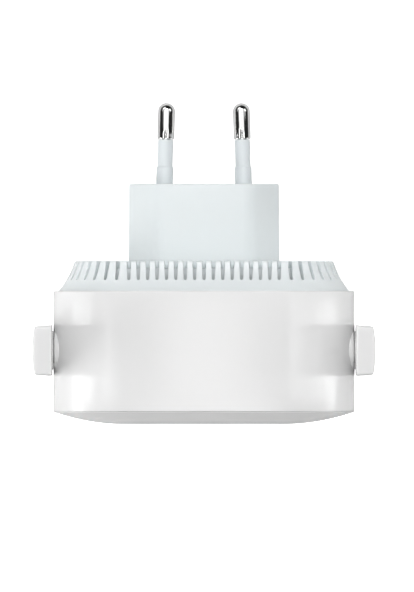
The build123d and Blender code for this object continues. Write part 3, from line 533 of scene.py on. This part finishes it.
def make_sleeve(name, side):
    """Insulating sleeve: slim, with its thicker collar softly stepped."""
    origin, axis = pin_line(side)
    bore_r, end_r = CORE_R + 0.02, 0.2
    profile = [(bore_r, -SLEEVE_ROOT), (PIN_R, -SLEEVE_ROOT), (PIN_R, COLLAR_L - 0.2)]
    profile += [(PIN_R - 0.06, COLLAR_L - 0.05), (PIN_R - 0.15, COLLAR_L), (SLEEVE_R, COLLAR_L + 0.06)]
    profile += [(SLEEVE_R, (COLLAR_L + SLEEVE_L) / 2)]
    profile += arc(SLEEVE_R - end_r, SLEEVE_L - end_r, end_r, 0, 90, 4) + [(bore_r, SLEEVE_L)]
    return turned(f"{name}_sleeve", profile, origin, axis, 64, closed=True, sharp=40)


# ---- antennas ----
def blade_outline(inset, foot_steps=32, tip_r=0.9):
    """Blade outline as (Y, Z) from the pivot: half round foot, straight sides, small corners at the tip."""
    half, top = BLADE_HALF - inset, TIP_Z - PIVOT.z - inset
    radius = max(tip_r - inset, 0.3)
    angles = [pi + pi * i / foot_steps for i in range(foot_steps + 1)]
    points = [(half * cos(a), half * sin(a)) for a in angles]
    sides = 6
    points += [(half, (top - radius) * i / sides) for i in range(1, sides)]
    points += arc(half - radius, top - radius, radius, 0, 90, 5)
    across = 10
    points += [((half - radius) * (1 - 2 * i / across), top) for i in range(1, across)]
    points += arc(radius - half, top - radius, radius, 90, 180, 5)
    points += [(-half, (top - radius) * (1 - i / sides)) for i in range(1, sides)]
    return points


def crown_x(across, up):
    """The outer face: bowed across the blade, and sloping down to the tip's flat end."""
    edge = BLADE_HALF - (BLADE_EDGE - ANT_IN) * tan(radians(BLADE_TAPER))
    bow = ANT_OUT - (ANT_OUT - BLADE_EDGE) * (across / edge) ** 2
    reach = TIP_Z - PIVOT.z
    fall = BLADE_EDGE + (reach - up) * TIP_FALL
    return min(bow, max(fall, BLADE_EDGE))


def make_antenna_shell(name, side):
    """Blade with drafted sides, a crowned outer face, and a recess for its lid."""
    edge_r, inner_r = 0.42, 0.15
    rings = []

    def ring(inset, x_of):
        """A ring of the blade's outline, moved in by inset, at the depth x_of gives for each point."""
        rings.append([(side * x_of(y, z), PIVOT.y + y, PIVOT.z + z) for y, z in blade_outline(inset)])

    recess = ANT_IN + LID_T + GAP
    ring(LID_INSET, lambda y, z: recess)
    ring(LID_INSET, lambda y, z: ANT_IN + GAP)
    ring(LID_INSET - GAP, lambda y, z: ANT_IN)
    for inset, x in arc(inner_r, ANT_IN + inner_r, inner_r, 270, 180, 4):
        ring(inset, lambda y, z, x=x: x)
    rise = BLADE_EDGE - ANT_IN

    def draft(x):
        """How far the tapered side has come in at x."""
        return (x - ANT_IN) * tan(radians(BLADE_TAPER))

    foot_x = ANT_IN + inner_r
    for share in (0.25, 0.5, 0.75, 1.0):
        x = foot_x + (rise - edge_r - inner_r) * share
        ring(draft(x), lambda y, z, share=share: foot_x + (crown_x(y, z) - edge_r - foot_x) * share)
    top = draft(BLADE_EDGE)
    for i in range(1, 7):
        a = radians(90 * i / 6)
        ring(top + edge_r * (1 - cos(a)), lambda y, z, a=a: crown_x(y, z) - edge_r * (1 - sin(a)))
    for inset in (1.0, 1.6, 2.3, 3.0, 3.7, 4.4, 5.0, 5.4):
        ring(inset, crown_x)
    verts, faces = loft(rings, close_start=True, close_end=True)
    return mesh_object(f"{name}_antenna_blade", verts, faces, weld=0.0005, sharp=40)


def make_antenna_lid(name, side):
    """Inner lid of the blade, with the pivot's collar and hollow shaft."""
    rings = []
    edge = 0.06
    for inset, x in ((LID_INSET + GAP, ANT_IN + LID_T), (LID_INSET + GAP, ANT_IN + edge),
                     (LID_INSET + GAP + edge * 0.3, ANT_IN + edge * 0.3), (LID_INSET + GAP + edge, ANT_IN)):
        rings.append([(side * x, PIVOT.y + y, PIVOT.z + z) for y, z in blade_outline(inset)])
    verts, faces = loft(rings, close_start=True, close_end=True)
    lid = mesh_object(f"{name}_antenna_lid", verts, faces, weld=0.0005, sharp=30)
    collar_r, chamfer, tip, root = BOSS_R - 0.1, 0.08, 0.2, ANT_IN + 0.3
    hub = [(SHAFT_BORE_R, SHAFT_IN), (SHAFT_R - tip, SHAFT_IN), (SHAFT_R, SHAFT_IN + tip)]
    hub += [(SHAFT_R, CLIP_IN), (CLIP_R, CLIP_IN), (CLIP_R, CLIP_OUT), (SHAFT_R, CLIP_OUT)]
    hub += [(SHAFT_R, HUB_FACE), (collar_r - chamfer, HUB_FACE), (collar_r, HUB_FACE + chamfer)]
    hub += [(collar_r, root), (SHAFT_BORE_R, root)]
    hub_piece = turned("hub", hub, (0, PIVOT.y, PIVOT.z), (side, 0, 0), 96, closed=True)
    combine(lid, hub_piece, "UNION")
    shade(lid, 30)
    return lid


# ---- materials ----
MIX_A, MIX_B, MIX_RESULT = 6, 7, 2   # colour sockets of the Mix node


def nodes_of(name):
    """A new node material, its tree and its shader."""
    material = bpy.data.materials.new(name)
    material.use_nodes = True
    tree = material.node_tree
    shader = next(n for n in tree.nodes if n.type == "BSDF_PRINCIPLED")
    return material, tree, shader


def add_node(tree, kind, inputs=None, **settings):
    """A node with its input values and settings."""
    made = tree.nodes.new(kind)
    for key, value in settings.items():
        setattr(made, key, value)
    for key, value in (inputs or {}).items():
        made.inputs[key].default_value = value
    return made


def noise(tree, scale, detail=3.0, rough=0.5, stretch=None):
    """Noise in the frame's own coordinates; scale is repeats per metre, stretch squeezes it along an axis."""
    place = add_node(tree, "ShaderNodeTexCoord")
    source = place.outputs["Object"]
    if stretch:
        squeeze = add_node(tree, "ShaderNodeMapping", {"Scale": stretch})
        tree.links.new(source, squeeze.inputs["Vector"])
        source = squeeze.outputs["Vector"]
    made = add_node(tree, "ShaderNodeTexNoise", {"Scale": scale, "Detail": detail, "Roughness": rough})
    tree.links.new(source, made.inputs["Vector"])
    return made.outputs["Fac"]


def blend_colour(tree, fac, low, high, at=(0.35, 0.65)):
    """A colour that runs from low to high as fac goes between two places."""
    ramp = add_node(tree, "ShaderNodeValToRGB")
    for element, place, colour in zip(ramp.color_ramp.elements, at, (low, high)):
        element.position = place
        element.color = (*colour, 1)
    tree.links.new(fac, ramp.inputs["Fac"])
    return ramp.outputs["Color"]


def spread(tree, fac, low, high):
    """A number that runs from low to high as fac goes from 0 to 1."""
    made = add_node(tree, "ShaderNodeMapRange", {"To Min": low, "To Max": high})
    tree.links.new(fac, made.inputs["Value"])
    return made.outputs["Result"]


def bump(tree, shader, height, strength, distance_mm):
    """Relief from a 0 to 1 height, distance_mm deep at full strength."""
    made = add_node(tree, "ShaderNodeBump", {"Strength": strength, "Distance": distance_mm * MM})
    tree.links.new(height, made.inputs["Height"])
    tree.links.new(made.outputs["Normal"], shader.inputs["Normal"])


def shifted(colour, amount):
    """A colour made lighter or darker."""
    return tuple(max(0.0, min(1.0, c * amount)) for c in colour)


def moulded(name, colour, rough=0.35, grain=1400.0, relief=0.006, mottle=0.015, specular=0.5,
            uneven=0.04, depth_mm=0.0):
    """Moulded plastic: faint mottling, fine grain and slightly uneven gloss; light sinks in by depth_mm."""
    material, tree, shader = nodes_of(name)
    patch = noise(tree, 90.0, 3)
    tint = blend_colour(tree, patch, shifted(colour, 1 - mottle), colour)
    tree.links.new(tint, shader.inputs["Base Color"])
    gloss = spread(tree, noise(tree, 260.0, 4), rough - uneven, rough + uneven)
    tree.links.new(gloss, shader.inputs["Roughness"])
    shader.inputs["Specular IOR Level"].default_value = specular
    if depth_mm:
        shader.inputs["Subsurface Weight"].default_value = 0.35
        shader.inputs["Subsurface Radius"].default_value = (1, 1, 1)
        shader.inputs["Subsurface Scale"].default_value = depth_mm * MM
    bump(tree, shader, noise(tree, grain, 4, 0.6), 0.35, relief)
    return material


def metal(name, colour, rough, stretch, relief=0.003, streak=900.0, edge=1.0):
    """Metal with fine drawn or turned marks, squeezed along the working direction."""
    material, tree, shader = nodes_of(name)
    shader.inputs["Metallic"].default_value = 1.0
    shader.inputs["Specular Tint"].default_value = (edge, edge, edge, 1)
    marks = noise(tree, streak, 5, 0.65, stretch)
    tree.links.new(blend_colour(tree, marks, shifted(colour, 0.93), colour), shader.inputs["Base Color"])
    tree.links.new(spread(tree, marks, rough * 0.8, rough * 1.3), shader.inputs["Roughness"])
    bump(tree, shader, marks, 0.2, relief)
    return material


def circuit(name, mask, copper, laminate_rough=0.42):
    """Circuit board: solder mask over raised tracks, and small tinned pads."""
    material, tree, shader = nodes_of(name)
    place = add_node(tree, "ShaderNodeTexCoord")
    lines = {"Scale": 170.0, "Mortar Size": 0.09, "Brick Width": 0.9, "Row Height": 0.32}
    tracks = add_node(tree, "ShaderNodeTexBrick", lines, offset=0.37, squash=0.6)
    turn = add_node(tree, "ShaderNodeMapping", {"Rotation": (radians(90), 0, 0)})
    tree.links.new(place.outputs["Object"], turn.inputs["Vector"])
    tree.links.new(turn.outputs["Vector"], tracks.inputs["Vector"])
    pads = add_node(tree, "ShaderNodeTexVoronoi", {"Scale": 420.0, "Randomness": 0.6})
    tree.links.new(turn.outputs["Vector"], pads.inputs["Vector"])
    pad_size = 0.16
    tinned = add_node(tree, "ShaderNodeMath", {1: pad_size}, operation="LESS_THAN")
    tree.links.new(pads.outputs["Distance"], tinned.inputs[0])
    under = blend_colour(tree, tracks.outputs["Fac"], mask, copper, (0.2, 0.8))
    mixed = add_node(tree, "ShaderNodeMix", {MIX_B: (0.6, 0.6, 0.58, 1)}, data_type="RGBA")
    tree.links.new(tinned.outputs[0], mixed.inputs["Factor"])
    tree.links.new(under, mixed.inputs[MIX_A])
    tree.links.new(mixed.outputs[MIX_RESULT], shader.inputs["Base Color"])
    gloss = spread(tree, noise(tree, 800.0), laminate_rough - 0.08, laminate_rough + 0.08)
    tree.links.new(gloss, shader.inputs["Roughness"])
    bump(tree, shader, tracks.outputs["Fac"], 0.4, 0.03)
    return material


def taped(name, colour):
    """Wound tape: thin overlapping turns with a soft shine."""
    material, tree, shader = nodes_of(name)
    place = add_node(tree, "ShaderNodeTexCoord")
    bands = {"Scale": 90.0, "Distortion": 1.2, "Detail": 2.0}
    wave = add_node(tree, "ShaderNodeTexWave", bands, bands_direction="Y")
    tree.links.new(place.outputs["Object"], wave.inputs["Vector"])
    tint = blend_colour(tree, wave.outputs["Fac"], shifted(colour, 0.82), colour)
    tree.links.new(tint, shader.inputs["Base Color"])
    tree.links.new(spread(tree, noise(tree, 500.0), 0.22, 0.38), shader.inputs["Roughness"])
    bump(tree, shader, wave.outputs["Fac"], 0.3, 0.05)
    return material


def clear(name, colour):
    """Clear moulding with a faint internal haze in its gloss."""
    material, tree, shader = nodes_of(name)
    shader.inputs["Transmission Weight"].default_value = 0.85
    shader.inputs["IOR"].default_value = 1.49
    tint = blend_colour(tree, noise(tree, 700.0), shifted(colour, 0.96), colour)
    tree.links.new(tint, shader.inputs["Base Color"])
    tree.links.new(spread(tree, noise(tree, 900.0), 0.08, 0.22), shader.inputs["Roughness"])
    return material


WHITE = (0.82, 0.82, 0.82)
COOL_WHITE = (0.82, 0.865, 0.875)
SLEEVE_WHITE = (0.78, 0.83, 0.85)
SMOOTH = {"relief": 0.003, "mottle": 0.004, "uneven": 0.012}
MATERIALS = {
    "white_gloss_plastic": moulded("white_moulding", WHITE, 0.22, depth_mm=0.6, **SMOOTH),
    "cool_white_plastic": moulded("cool_white_moulding", COOL_WHITE, 0.28, depth_mm=0.9, **SMOOTH),
    "pin_sleeve_plastic": moulded("sleeve_moulding", SLEEVE_WHITE, 0.3, relief=0.002, mottle=0.006,
                                  uneven=0.02),
    "polished_nickel": metal("plated_pin", (0.93, 0.93, 0.92), 0.07, (1, 0.03, 1), 0.0004, edge=0.3),
    "circuit_board": circuit("main_laminate", (0.02, 0.16, 0.07), (0.07, 0.30, 0.13)),
    "supply_circuit_board": circuit("supply_laminate", (0.42, 0.30, 0.12), (0.30, 0.20, 0.07), 0.5),
    "tinned_steel": metal("tinned_sheet", (0.66, 0.67, 0.68), 0.33, (1, 1, 14)),
    "fastener_steel": metal("zinc_screw", (0.60, 0.61, 0.62), 0.3, (1, 12, 1)),
    "spring_steel": metal("spring_sheet", (0.42, 0.43, 0.44), 0.3, (1, 8, 1)),
    "gold_contact": metal("gold_flash", (0.86, 0.64, 0.26), 0.22, (1, 1, 10)),
    "chip_epoxy": moulded("chip_epoxy", (0.022, 0.022, 0.025), 0.55, 2600.0, 0.015, 0.2, 0.35),
    "ferrite": moulded("sintered_ferrite", (0.05, 0.05, 0.055), 0.6, 1800.0, 0.03, 0.25, 0.4),
    "winding_tape": taped("winding_tape", (0.80, 0.55, 0.07)),
    "capacitor_sleeve": moulded("shrink_sleeve", (0.02, 0.035, 0.10), 0.28, 900.0, 0.01, 0.15),
    "ceramic_body": moulded("dipped_ceramic", (0.10, 0.22, 0.42), 0.35, 700.0, 0.03, 0.12),
    "resistor_body": moulded("resistor_coat", (0.22, 0.36, 0.26), 0.5, 900.0, 0.03, 0.12),
    "black_plastic": moulded("black_moulding", (0.02, 0.02, 0.021), 0.42, 1500.0, 0.01, 0.2),
    "light_pipe_clear": clear("clear_pipe", (0.93, 0.96, 0.97)),
    "led_lens": moulded("lamp_lens", (0.85, 0.86, 0.74), 0.25, 900.0, 0.004, 0.05),
    "thermal_silicone": moulded("silicone_pad", (0.30, 0.40, 0.58), 0.65, 1100.0, 0.03, 0.08, 0.3),
    "washer_polymer": moulded("slip_polymer", (0.12, 0.12, 0.125), 0.45, 1200.0, 0.008, 0.12),
    "coax_jacket": moulded("coax_jacket", (0.03, 0.03, 0.032), 0.4, 1500.0, 0.01, 0.15),
    "lead_jacket": moulded("lead_jacket", (0.45, 0.04, 0.03), 0.35, 1500.0, 0.01, 0.1),
    "antenna_circuit": circuit("antenna_laminate", (0.03, 0.14, 0.22), (0.60, 0.42, 0.18)),
}
SLOT_OF = {s["node"]: s["material_slot"] for s in frame["record"]["subparts"]}


def dress(obj, slot):
    """Gives a piece its slot's material."""
    if not obj.material_slots:
        obj.data.materials.append(MATERIALS[slot])
    for holder in obj.material_slots:
        holder.material = MATERIALS[slot]
    return obj


def stand_for(piece, body, *nodes):
    """A rebuilt piece: rides on its body, hides the CAD nodes it stands for, and takes their slot."""
    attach(piece, body)
    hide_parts(*nodes)
    slot = SLOT_OF[nodes[0]]
    return dress(piece, slot)


for node, obj in frame["nodes"].items():
    dress(obj, SLOT_OF[node])

stand_for(make_front_shell(), "housing", "front_shell")
stand_for(make_front_cover(), "housing", "front_cover")
stand_for(make_back_cover(), "housing", "back_cover")
stand_for(make_plug_housing(), "housing", "plug_housing")
for side_name, sign in SIDES.items():
    stand_for(make_pin(side_name, sign), "housing", f"{side_name}_pin")
    stand_for(make_sleeve(side_name, sign), "housing", f"{side_name}_pin_sleeve")
    stand_for(make_antenna_shell(side_name, sign), f"{side_name}_antenna", f"{side_name}_antenna_shell")
    stand_for(make_antenna_lid(side_name, sign), f"{side_name}_antenna", f"{side_name}_antenna_cover")


# ---- floor, lights and camera ----
FLOOR_GLOW, SURROUNDINGS = 0.93, 0.02
PANEL_DISTANCE, STRIP_DISTANCE, BEAM_DISTANCE = 520, 450, 300


def area_light(name, place, out, size, radiance, spread_deg=180.0):
    """A soft rectangular lamp at a place in millimetres, facing back along out."""
    out = Vector(out).normalized()
    level = Vector((0, 1, 0)) if abs(out.y) < 0.01 else Vector((0, 0, 1))
    across = level.cross(out).normalized()
    data = bpy.data.lights.new(name, "AREA")
    data.shape = "RECTANGLE"
    data.size, data.size_y = size[0] * MM, size[1] * MM
    data.energy = radiance * pi * data.size * data.size_y
    data.spread = radians(spread_deg)
    lamp = bpy.data.objects.new(name, data)
    lamp.location = Vector(place) * MM
    lamp.rotation_euler = Matrix((across, out.cross(across), out)).transposed().to_euler()
    lamp.visible_camera = False
    bpy.context.scene.collection.objects.link(lamp)
    return lamp


def strip_lamp(name, angle, width, y_range, radiance, radius=STRIP_DISTANCE, spread_deg=180.0):
    """A lamp along Y, at an angle from overhead (left is negative), facing the object's long axis."""
    low, high = y_range
    out = (sin(radians(angle)), 0, cos(radians(angle)))
    place = (out[0] * radius, (low + high) / 2, out[2] * radius)
    return area_light(name, place, out, (width, high - low), radiance, spread_deg)


def panel_lamp(name, azimuth, elevation, size, radiance):
    """A lamp facing the middle of the housing; azimuth 0 is in front, 180 behind, 90 on the right."""
    turn, lift = radians(azimuth), radians(elevation)
    out = Vector((sin(turn) * cos(lift), -cos(turn) * cos(lift), sin(lift)))
    middle = Vector((0, -27, 0))
    return area_light(name, middle + out * PANEL_DISTANCE, out, size, radiance)


def make_floor():
    """Pale floor, a softly grained disc that the camera sees near white."""
    steps, radius, y0 = 96, 4000.0, -20.0
    spokes = [(cos(2 * pi * i / steps), sin(2 * pi * i / steps)) for i in range(steps)]
    rings = [[(r * x, y0 + r * y, -HALF_H - 0.02) for x, y in spokes] for r in (40, 200, 1000, radius)]
    verts, faces = loft(rings, close_start=True)
    floor = mesh_object("floor", verts, faces)
    material, tree, shader = nodes_of("pale_floor")
    patch = noise(tree, 30.0, 3)
    tint = blend_colour(tree, patch, (0.86, 0.86, 0.86), (0.9, 0.9, 0.9))
    tree.links.new(tint, shader.inputs["Base Color"])
    shader.inputs["Roughness"].default_value = 0.8
    shader.inputs["Specular IOR Level"].default_value = 0.1
    glow = add_node(tree, "ShaderNodeEmission", {"Color": (1, 1, 1, 1), "Strength": FLOOR_GLOW})
    seen = add_node(tree, "ShaderNodeLightPath")
    lit = add_node(tree, "ShaderNodeMixShader")
    both = add_node(tree, "ShaderNodeAddShader")
    tree.links.new(seen.outputs["Is Camera Ray"], lit.inputs["Fac"])
    tree.links.new(glow.outputs[0], lit.inputs[2])
    tree.links.new(shader.outputs[0], both.inputs[0])
    tree.links.new(lit.outputs[0], both.inputs[1])
    tree.links.new(both.outputs[0], tree.nodes["Material Output"].inputs["Surface"])
    floor.data.materials.append(material)
    return floor


def make_world(strength):
    """Even grey surroundings for the light, behind a plain white backdrop."""
    world = bpy.data.worlds.new("studio")
    world.use_nodes = True
    tree = world.node_tree
    surroundings = tree.nodes["Background"]
    surroundings.inputs["Color"].default_value = (1, 1, 1, 1)
    surroundings.inputs["Strength"].default_value = strength
    backdrop = add_node(tree, "ShaderNodeBackground", {"Color": (1, 1, 1, 1), "Strength": 1.0})
    seen = add_node(tree, "ShaderNodeLightPath")
    both = add_node(tree, "ShaderNodeMixShader")
    tree.links.new(seen.outputs["Is Camera Ray"], both.inputs["Fac"])
    tree.links.new(surroundings.outputs[0], both.inputs[1])
    tree.links.new(backdrop.outputs[0], both.inputs[2])
    tree.links.new(both.outputs[0], tree.nodes["World Output"].inputs["Surface"])
    return world


make_floor()
scene = bpy.context.scene
scene.world = make_world(SURROUNDINGS)
scene.view_settings.view_transform = "Standard"
scene.view_settings.look = "None"

FRONT, BESIDE, BEHIND = (-425, -75), (-75, -5), (-5, 375)
strip_lamp("left_low_front", -81.5, 102.5, FRONT, 7.2)
strip_lamp("left_shoulder", -35, 78.7, BESIDE, 2.6)
strip_lamp("overhead_front_left", -3.5, 55, FRONT, 2.4)
strip_lamp("overhead_front_right", 3.5, 55, FRONT, 4.0)
strip_lamp("overhead_back", 0, 520, BEHIND, 1.08)
strip_lamp("overhead_line", 0, 18.9, (-75, 25), 6.9)
strip_lamp("overhead_beam", 0, 26, (-75, 5), 0.008, radius=400, spread_deg=3)
strip_lamp("right_crown", 26, 62.9, BESIDE, 3.5)
strip_lamp("right_low_front", 81.5, 102.5, FRONT, 3.6)
NARROW_BEAM = {"width": 60, "y_range": (-78, -18), "radius": BEAM_DISTANCE, "spread_deg": 14}
for beam_name, beam_angle, beam_radiance in (("left_beam_low", -75, 0.092), ("left_beam_high", -62, 0.072),
                                             ("right_beam_low", 75, 0.094), ("right_beam_high", 62, 0.050),
                                             ("right_beam_upper", 50, 0.024), ("right_beam_top", 38, 0.024)):
    strip_lamp(beam_name, beam_angle, radiance=beam_radiance, **NARROW_BEAM)
WIDE_BEAM = {"width": 120, "y_range": (-78, -20), "radius": BEAM_DISTANCE, "spread_deg": 14}
strip_lamp("left_beam_level", -90, radiance=0.048, **WIDE_BEAM)
strip_lamp("right_beam_level", 90, radiance=0.062, **WIDE_BEAM)
LOW_PANEL, HIGH_PANEL, BROAD_PANEL = (270, 200), (270, 220), (300, 180)
panel_lamp("left_front_panel", -60, 12, LOW_PANEL, 2.3)
panel_lamp("front_panel", 0, 60, HIGH_PANEL, 1.1)
panel_lamp("left_back_high", -120, 60, HIGH_PANEL, 0.48)
panel_lamp("left_back_panel", -120, 35, HIGH_PANEL, 0.45)
panel_lamp("right_back_panel", 120, 35, HIGH_PANEL, 1.35)
panel_lamp("back_panel", 180, 60, HIGH_PANEL, 4.0)
panel_lamp("back_left_panel", 210, 30, BROAD_PANEL, 1.3)

camera_data = bpy.data.cameras.new("camera")
camera = bpy.data.objects.new("camera", camera_data)
scene.collection.objects.link(camera)
camera.location = Vector((0.7, -26.4, 4604)) * MM
camera_data.sensor_width = 36
camera_data.lens = 1190
camera_data.clip_start, camera_data.clip_end = 0.1, 50
scene.camera = camera
